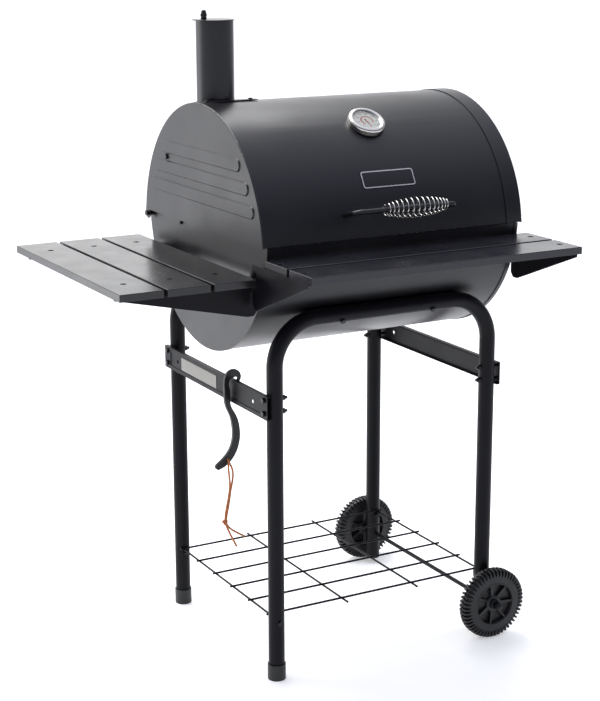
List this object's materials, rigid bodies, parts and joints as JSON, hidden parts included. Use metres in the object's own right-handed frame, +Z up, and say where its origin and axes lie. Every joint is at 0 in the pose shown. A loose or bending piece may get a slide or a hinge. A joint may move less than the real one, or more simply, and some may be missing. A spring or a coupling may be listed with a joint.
{
  "type": "barrel charcoal grill",
  "caption": "Barrel charcoal grill on a tube cart with wheels, hinged lid with chimney and thermometer, spring-grip handle, side and front shelves and a wire shelf.",
  "frame": {"origin": "centre of the footprint on the floor", "axes": "+Z up, -Y towards the user at the handle, +X towards the wheels"},
  "size_m": [0.896, 0.7415, 1.2957],
  "materials": {
    "black_coat": "satin black heat-resistant powder coat on sheet steel and tube",
    "black_fastener": "blackened steel screws, bolts and nuts",
    "painted_slat": "satin black paint on smooth board",
    "wheel_plastic": "moulded black polypropylene",
    "foot_plastic": "moulded black polyethylene",
    "axle_steel": "zinc plated steel bar",
    "plated_wire": "chrome plated steel wire",
    "steel_wire": "plain steel wire",
    "grip_wire": "bright nickel plated spring wire",
    "bezel_steel": "polished stainless steel",
    "dial_enamel": "white printed dial",
    "needle_paint": "painted pointer",
    "gauge_glass": "clear flat glass",
    "plate_enamel": "black enamel plate with a plain pale border",
    "label_film": "plain silver-grey label film, blank",
    "lifter_iron": "black painted casting",
    "lace_leather": "waxed brown leather lace"
  },
  "bodies": {
    "cart": {"air_damper_bolt": "black_fastener", "axle": "axle_steel", "blank_label": "label_film", "body_rack_bolts": "black_fastener", "body_shell": "black_coat", "bracket_bolts": "black_fastener", "charcoal_grate": "steel_wire", "cooking_grate": "plated_wire", "foot_caps": "foot_plastic", "frame_bolts": "black_fastener", "front_left_bracket": "black_coat", "front_left_leg": "black_coat", "front_right_bracket": "black_coat", "front_right_leg": "black_coat", "front_slat_inner": "painted_slat", "front_slat_outer": "painted_slat", "grate_supports": "black_fastener", "hinge_bolts": "black_fastener", "hub_nuts": "black_fastener", "left_body_end": "black_coat", "left_crossbar": "black_coat", "leg_plugs": "foot_plastic", "rear_left_leg": "black_coat", "rear_right_leg": "black_coat", "right_body_end": "black_coat", "right_crossbar": "black_coat", "shelf_screws": "black_fastener", "side_front_bracket": "black_coat", "side_rear_bracket": "black_coat", "side_slat_inner": "painted_slat", "side_slat_middle": "painted_slat", "side_slat_outer": "painted_slat", "slat_screws": "black_fastener", "wire_shelf": "black_coat"},
    "lid": {"lid_shell": "black_coat", "left_lid_end": "black_coat", "right_lid_end": "black_coat", "handle": "black_coat", "handle_nuts": "black_fastener", "chimney": "black_coat", "chimney_screws": "black_fastener", "damper_bolt": "black_fastener", "thermometer_case": "bezel_steel", "thermometer_dial": "dial_enamel", "thermometer_glass": "gauge_glass", "thermometer_nut": "black_fastener", "name_plate": "plate_enamel", "lid_rack_bolts": "black_fastener"},
    "chimney_damper": {"chimney_damper": "black_coat"},
    "needle": {"thermometer_needle": "needle_paint"},
    "spring_grip": {"spring_grip": "grip_wire"},
    "warming_rack": {"warming_rack": "plated_wire"},
    "rack_legs": {"rack_legs": "black_coat"},
    "front_wheel": {"front_wheel": "wheel_plastic"},
    "rear_wheel": {"rear_wheel": "wheel_plastic"},
    "air_damper": {"air_damper": "black_coat"},
    "lifter": {"grate_lifter": "lifter_iron", "lace_front": "lace_leather", "lace_rear": "lace_leather", "lace_knot": "lace_leather"}
  },
  "joints": [
    {"name": "lid_hinge", "type": "hinge", "parent": "cart", "child": "lid", "pos_m": [0.128, 0.33025, 0.872], "axis": [-1, 0, 0], "range_deg": [0, 85]},
    {"name": "rack_leg_hinge", "type": "hinge", "parent": "cart", "child": "rack_legs", "pos_m": [0.128, 0.18825, 0.874], "axis": [-1, 0, 0], "range_deg": [0, 85]},
    {"name": "rack_hinge", "type": "hinge", "parent": "lid", "child": "warming_rack", "pos_m": [0.128, 0.22825, 1.002], "axis": [-1, 0, 0], "range_deg": [-85, 0]},
    {"name": "damper_swivel", "type": "hinge", "parent": "lid", "child": "chimney_damper", "pos_m": [-0.123, 0.12725, 1.275], "axis": [0, 0, 1], "range_deg": [0, 150]},
    {"name": "needle_turn", "type": "hinge", "parent": "lid", "child": "needle", "pos_m": [0.128, -0.06706, 1.07909], "axis": [0, 0.5388, -0.8425], "range_deg": [0, 300], "stiffness_Nm_per_rad": 0.01},
    {"name": "grip_slide", "type": "slide", "parent": "lid", "child": "spring_grip", "axis": [-1, 0, 0], "range_m": [0, 0.044]},
    {"name": "front_wheel_spin", "type": "hinge", "parent": "cart", "child": "front_wheel", "pos_m": [0.373, -0.18375, 0.075], "axis": [0, 1, 0], "continuous": true},
    {"name": "rear_wheel_spin", "type": "hinge", "parent": "cart", "child": "rear_wheel", "pos_m": [0.373, 0.33625, 0.075], "axis": [0, 1, 0], "continuous": true},
    {"name": "air_damper_turn", "type": "hinge", "parent": "cart", "child": "air_damper", "pos_m": [0.409, 0.07625, 0.72576], "axis": [1, 0, 0], "range_deg": [0, 45]},
    {"name": "lifter_lift", "type": "slide", "parent": "cart", "child": "lifter", "axis": [0, 0, 1], "range_m": [0, 0.006]}
  ],
  "couplings": [
    {"joint": "rack_leg_hinge", "follows": "lid_hinge", "ratio": 1},
    {"joint": "rack_hinge", "follows": "lid_hinge", "ratio": -1}
  ]
}
